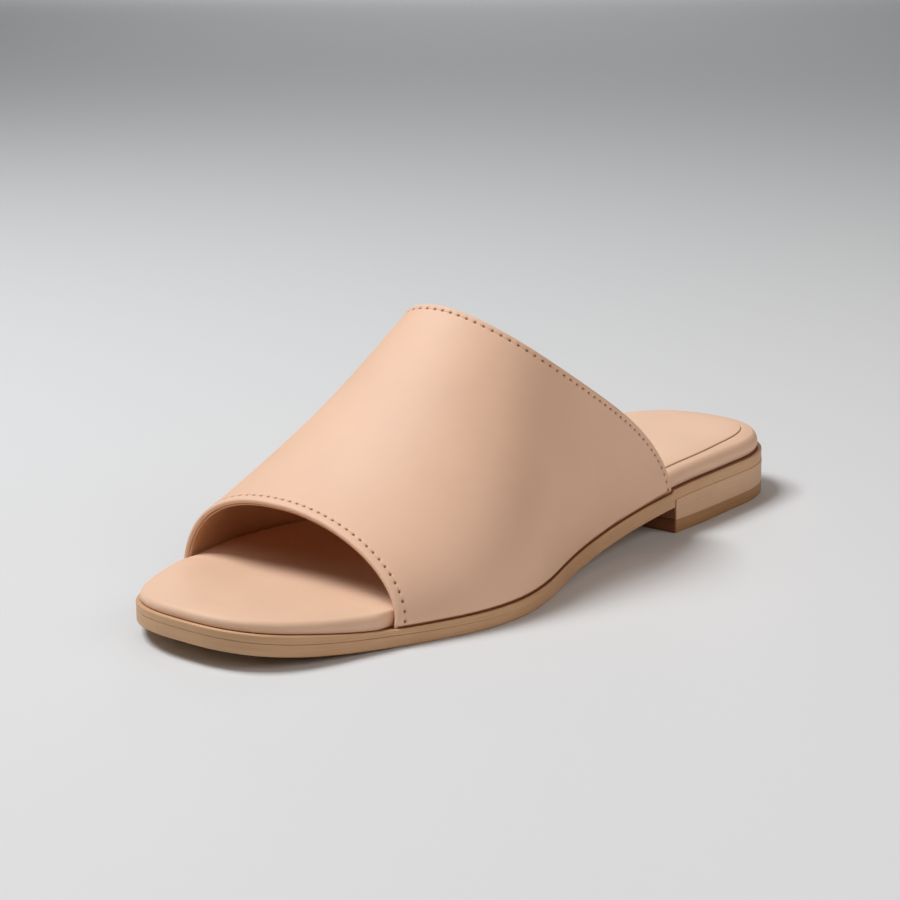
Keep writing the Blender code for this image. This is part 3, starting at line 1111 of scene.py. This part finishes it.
@dataclass
class Band:
    """The upper: a leather band with turned edges, a lining behind it and a stitch row beside each edge."""

    last: Last
    columns: int = 620
    lining_columns: int = 240
    leather: float = 1.5
    lining: float = 0.62
    wall: float = 2.2
    lining_back: float = 0.4  # its edge lies this far behind the leather's
    lining_rows: Steps = (0.0, 1.0, 4.0)  # its first rows, by their distance from its edge
    stitch_rows: Steps = (-1.5, -1.0, -0.7, -0.45, -0.22, 0.0, 0.22, 0.45, 0.7, 1.1, 1.8, 3.2)
    least_step: float = 0.15  # least distance of such a row from the turned edge
    field_rows: int = 26
    fold_steps: int = 8
    groove_depth: float = 0.015
    groove_width: float = 0.5
    roll_height: float = 0.1
    roll_width: float = 0.7
    hole_depth: float = 0.42
    hole_length: float = 0.48
    hole_width: float = 0.38
    hole_shade: Pair = (1.7, 0.35)  # gain of the painted shade in a needle hole, and what is taken off
    edge_rim: float = 0.15  # how far a turned edge has the colour of stretched leather
    foot_roll: float = 0.45  # the foot of the band turns in this far
    foot_height: float = 1.3
    foot_shade: Pair = (0.6, 0.85)  # height of its painted shade at the toe and at the waist
    foot_change: Pair = (195.0, 120.0)  # that height changes between these stations
    foot_fade: float = 0.25
    thread_width: float = 0.3
    thread_sunk: float = 0.04  # its middle lies this far under the leather's face
    thread_short: float = 0.36  # each length stops this far from its needle holes
    thread_faces: int = 8  # round it and along it
    thread_ends: float = 0.0005  # share of the girth at each foot that its line leaves out

    def __post_init__(self) -> None:
        """Lays out the form and the stitch rows."""
        self.form = BandForm(self.last)
        self.stitches = (
            StitchRow(BandEnd.THROAT, inset=1.75, pitch=2.9),
            StitchRow(BandEnd.TOE, inset=2.7, pitch=2.75),
        )

    def fine_rows(self, row: StitchRow) -> list[float]:
        """Distances of the leather's rows from a cut edge, close together over its stitches."""
        least = self.leather / 2
        distances = [row.inset + step for step in self.stitch_rows]
        return [least, *(distance for distance in distances if distance > least + self.least_step)]

    def stitch_run(self, row: StitchRow, around: Array) -> tuple[Array, Array, Array]:
        """Line of a stitch row.

        Args:
            row: The stitch row.
            around: Columns to follow it over.

        Returns:
            Its points, its outward directions and the length along it at each column.
        """
        throat = row.end is BandEnd.THROAT
        places = self.form.rows(around, [row.inset], 0, [row.inset])[0 if throat else 1]
        points = self.form.surface(places, around)
        return points, self.form.normals(places, around), run_along(points)

    def holes(self, row: StitchRow, run: Array) -> Array:
        """Lengths along a stitch row at which the needle went in."""
        count = int((run[-1] - 2 * row.first) / row.pitch)
        return np.linspace(row.first, run[-1] - row.first, count + 1)

    def shell(self, outer: Array, inner: Array, normals: Array, marks: Array) -> BMesh:
        """A wall with full round edges, closed along its two feet.

        Args:
            outer: Points of the outer face, by row and column.
            inner: Points of the inner face.
            normals: Outward directions.
            marks: Marks of the outer face.

        Returns:
            The closed bmesh.
        """
        turns = np.radians(np.linspace(0, 180, self.fold_steps + 1)[1:-1])[:, None, None]
        folds = {}
        for end, row in ((BandEnd.THROAT, 0), (BandEnd.TOE, -1)):
            edge = unit(np.gradient(outer[row], axis=0))
            across = (outer[row] - inner[row]) / 2
            outward = unit(np.cross(normals[row], edge)) * (1 if end is BandEnd.THROAT else -1)
            reach = outward * np.linalg.norm(across, axis=-1, keepdims=True)
            folds[end] = outer[row] - across + across * np.cos(turns) + reach * np.sin(turns)
        rows, fold_rows = len(outer), self.fold_steps - 1
        toe, throat = folds[BandEnd.TOE], folds[BandEnd.THROAT]
        points = np.concatenate([outer, toe, inner[::-1], throat[::-1], outer[:1]])
        folded = np.broadcast_to([0.0, self.edge_rim, 0.0], toe.shape)
        marks = np.concatenate([marks, folded, np.zeros_like(marks), folded, marks[:1]])
        order = np.arange(len(points) - 1)
        facing = (2 * rows + fold_rows - 1 - order) % (2 * rows + 2 * fold_rows)
        feet = (points + points[np.append(facing, facing[0])]) / 2
        points = np.concatenate([feet[:, :1], points, feet[:, -1:]], axis=1)
        marks = np.concatenate([marks[:, :1], marks, marks[:, -1:]], axis=1)
        return loft(points, marks)

    def shaded_foot(self, x: Array, height: Array) -> Array:
        """Painted shade on the foot of the band at a station and a height over the sole."""
        top = change(x, self.foot_change, *self.foot_shade)
        return ease((top + self.foot_fade - height) / self.foot_fade)

    def build_leather(self) -> None:
        """Builds the outer leather with its turned edges, stitch grooves and needle holes."""
        around = self.form.columns(self.columns)
        near, far = (self.fine_rows(row) for row in self.stitches)
        along = self.form.rows(around, near, self.field_rows, far[::-1])
        face = self.form.surface(along, around[None, :])
        normals = self.form.normals(along, np.broadcast_to(around, along.shape))
        gain, taken = self.hole_shade
        sunk = np.zeros(along.shape)
        marks = np.zeros((*along.shape, 3))
        for row, distances in zip(self.stitches, (near, far)):
            run = self.stitch_run(row, around)[2]
            to_hole = np.abs(run[:, None] - self.holes(row, run)[None, :]).min(axis=1)
            for i, distance in enumerate(distances):
                place = i if row.end is BandEnd.THROAT else -1 - i
                aside = distance - row.inset
                hole = bell(np.hypot(to_hole / self.hole_length, aside / self.hole_width), 1.0)
                roll = bell(np.array(distance - row.inset / 2), self.roll_width)
                groove = bell(np.array(aside), self.groove_width)
                sunk[place] += self.groove_depth * groove + self.hole_depth * hole - self.roll_height * roll
                # painted shade in the needle holes
                marks[place, :, 0] = np.clip(gain * hole - taken, 0, 1)
        height = face[..., 2] - self.last.seat(face[..., 0], face[..., 1])
        low = np.clip(1 - height / self.foot_height, 0, 1) ** 2
        # painted shade along the band's foot, where it meets the sole
        marks[..., 2] = self.shaded_foot(face[..., 0], height)
        outer = face - normals * (sunk + self.foot_roll * low)[..., None]
        mesh = self.shell(outer, face - normals * self.leather, normals, marks)
        add_piece("band_leather", mesh, NUDE_CALF.material(), Slot.BAND, "upper")

    def build_lining(self) -> None:
        """Builds the lining behind the leather."""
        around = self.form.columns(self.lining_columns)
        edge = self.lining / 2 + self.lining_back
        near = [edge + step for step in self.lining_rows]
        along = self.form.rows(around, near, self.field_rows, near[::-1])
        face = self.form.surface(along, around[None, :])
        normals = self.form.normals(along, np.broadcast_to(around, along.shape))
        outer, inner = (face - normals * depth for depth in (self.wall - self.lining, self.wall))
        mesh = self.shell(outer, inner, normals, np.zeros((*along.shape, 3)))
        add_piece("band_lining", mesh, SHADED_LINING_CALF.material(), Slot.BAND)

    def build_thread(self) -> None:
        """Builds the stitches of both rows as one joined mesh of sunk thread lengths."""
        mesh = bmesh.new()
        around = np.linspace(self.thread_ends, 1 - self.thread_ends, DENSE)
        faces = {"u_segments": self.thread_faces, "v_segments": self.thread_faces}
        for row in self.stitches:
            points, normals, run = self.stitch_run(row, around)
            holes = self.holes(row, run)
            half = (holes[1] - holes[0]) / 2 - self.thread_short
            for i in np.searchsorted(run, (holes[1:] + holes[:-1]) / 2):
                forward = unit(points[i + 1] - points[i - 1])
                place = points[i] - normals[i] * self.thread_sunk
                turn = np.column_stack([np.cross(normals[i], forward), normals[i], forward])
                size = np.diag([self.thread_width / 2, self.thread_width / 2, half])
                matrix = Matrix((turn @ size * MM).tolist()).to_4x4()
                matrix.translation = Vector(placed(place))
                bmesh.ops.create_uvsphere(mesh, **faces, radius=1.0, matrix=matrix)
        bmesh.ops.recalc_face_normals(mesh, faces=mesh.faces)
        add_piece("band_thread", mesh, BondedThread().material(), Slot.BAND)

    def build(self) -> None:
        """Builds and dresses the band."""
        self.build_leather()
        self.build_lining()
        self.build_thread()


def toward(azimuth_deg: float, elevation_deg: float) -> Vector:
    """Direction from the floor at an azimuth from the toe towards the lateral side, and an elevation."""
    azimuth, elevation = math.radians(azimuth_deg), math.radians(elevation_deg)
    flat = Vector((math.cos(azimuth), math.sin(azimuth), 0.0))
    return flat * math.cos(elevation) + Vector((0.0, 0.0, math.sin(elevation)))


@dataclass(frozen=True)
class Softbox:
    """A square studio lamp that faces a point of the floor, in metres in the part's frame."""

    name: str
    azimuth_deg: float  # from the toe towards the lateral side
    elevation_deg: float
    distance: float
    size: float
    power: float
    aim: Pair = (0.0, 0.0)
    colour: str = "#FFFFFF"

    def build(self) -> None:
        """Hangs the lamp."""
        data = bpy.data.lights.new(self.name, "AREA")
        data.shape = "SQUARE"
        data.size = self.size
        data.energy = self.power
        data.color = linear(self.colour)[:3]
        lamp = add_object(self.name, data)
        away = toward(self.azimuth_deg, self.elevation_deg)
        lamp.location = Vector((*self.aim, 0.0)) + away * self.distance
        lamp.rotation_euler = away.to_track_quat("Z", "Y").to_euler()


WARM = "#FFF2E9"
LAMPS = (
    Softbox("key", -60.0, 61.0, distance=1.6, size=0.65, power=24.0),
    Softbox("toe_light", -25.0, 40.0, distance=1.15, size=0.8, power=0.8),
    Softbox("fill_lateral", 75.0, 40.0, distance=1.15, size=0.8, power=2.85, colour=WARM),
    Softbox("fill_heel", 110.0, 30.0, distance=1.15, size=0.8, power=2.25, colour=WARM),
    Softbox("backdrop_near", 0.0, 90.0, distance=1.5, size=1.5, power=5.4, aim=(-1.55, -1.26)),
    Softbox("backdrop", 0.0, 90.0, distance=1.5, size=1.5, power=6.1, aim=(-2.33, -1.89)),
    Softbox("backdrop_far", 0.0, 90.0, distance=1.5, size=1.5, power=66.0, aim=(-4.66, -3.79)),
)


@dataclass(frozen=True)
class Studio:
    """Floor, lamps and the camera at the photograph's angle."""

    lens_mm: float = 87.04
    sensor_mm: float = 36.0
    azimuth_deg: float = 39.12  # from the toe towards the lateral side
    elevation_deg: float = 14.11
    roll_deg: float = -0.36
    distance: float = 712.9
    target: tuple[float, float, float] = (95.79, -42.79, 20.0)  # on the last
    floor_size: float = 12.0
    floor_drop: float = 0.0001
    floor_colour: str = "#D5D7D9"

    def build_camera(self) -> None:
        """Sets up the camera."""
        roll = math.radians(self.roll_deg)
        back = toward(self.azimuth_deg, self.elevation_deg)
        level = toward(self.azimuth_deg + 90.0, 0.0)
        upright = back.cross(level)
        right = level * math.cos(roll) + upright * math.sin(roll)
        up = upright * math.cos(roll) - level * math.sin(roll)
        data = bpy.data.cameras.new("camera")
        data.lens = self.lens_mm
        data.sensor_width = self.sensor_mm
        camera = add_object("camera", data)
        matrix = Matrix((right, up, back)).transposed().to_4x4()
        aim = Vector(self.target) - Vector((*LAST_ORIGIN, 0.0))
        matrix.translation = (aim + back * self.distance) * MM
        camera.matrix_world = matrix
        bpy.context.scene.camera = camera

    def build_floor(self) -> None:
        """Lays the floor."""
        mesh = bmesh.new()
        bmesh.ops.create_grid(mesh, x_segments=1, y_segments=1, size=self.floor_size)
        bmesh.ops.translate(mesh, verts=mesh.verts, vec=(0.0, 0.0, -self.floor_drop))
        material, tree, shader = new_material("painted_floor")
        feed(tree, shader, {"Base Color": linear(self.floor_colour), "Roughness": 0.9})
        add_object("floor", mesh_data("floor", mesh, material))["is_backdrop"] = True

    def build_light(self) -> None:
        """Hangs the lamps, which alone light the room."""
        for lamp in LAMPS:
            lamp.build()
        world = bpy.data.worlds.new("room")
        world.use_nodes = True
        world.node_tree.nodes["Background"].inputs["Strength"].default_value = 0.0
        bpy.context.scene.world = world
        bpy.context.scene.view_settings.view_transform = "Standard"

    def build(self) -> None:
        """Sets up the whole studio."""
        self.build_floor()
        self.build_light()
        self.build_camera()


def write_sizes() -> None:
    """Gathers the part's box and the dressed sandal's box, in metres, and keeps neither."""
    boxes = {"cad": CAD_BOX, "visual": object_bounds()}
    {name: [list(corner) for corner in box] for name, box in boxes.items()}


def main() -> None:
    """Builds the sandal and its studio."""
    logging.basicConfig(level=logging.INFO, format="%(name)s %(message)s")
    last = Last()
    for sub_assembly in (Sole(last), Footbed(last), Band(last), Studio()):
        sub_assembly.build()
        LOG.info("%s is built", type(sub_assembly).__name__)
    write_sizes()


if __name__ == "__main__":
    main()
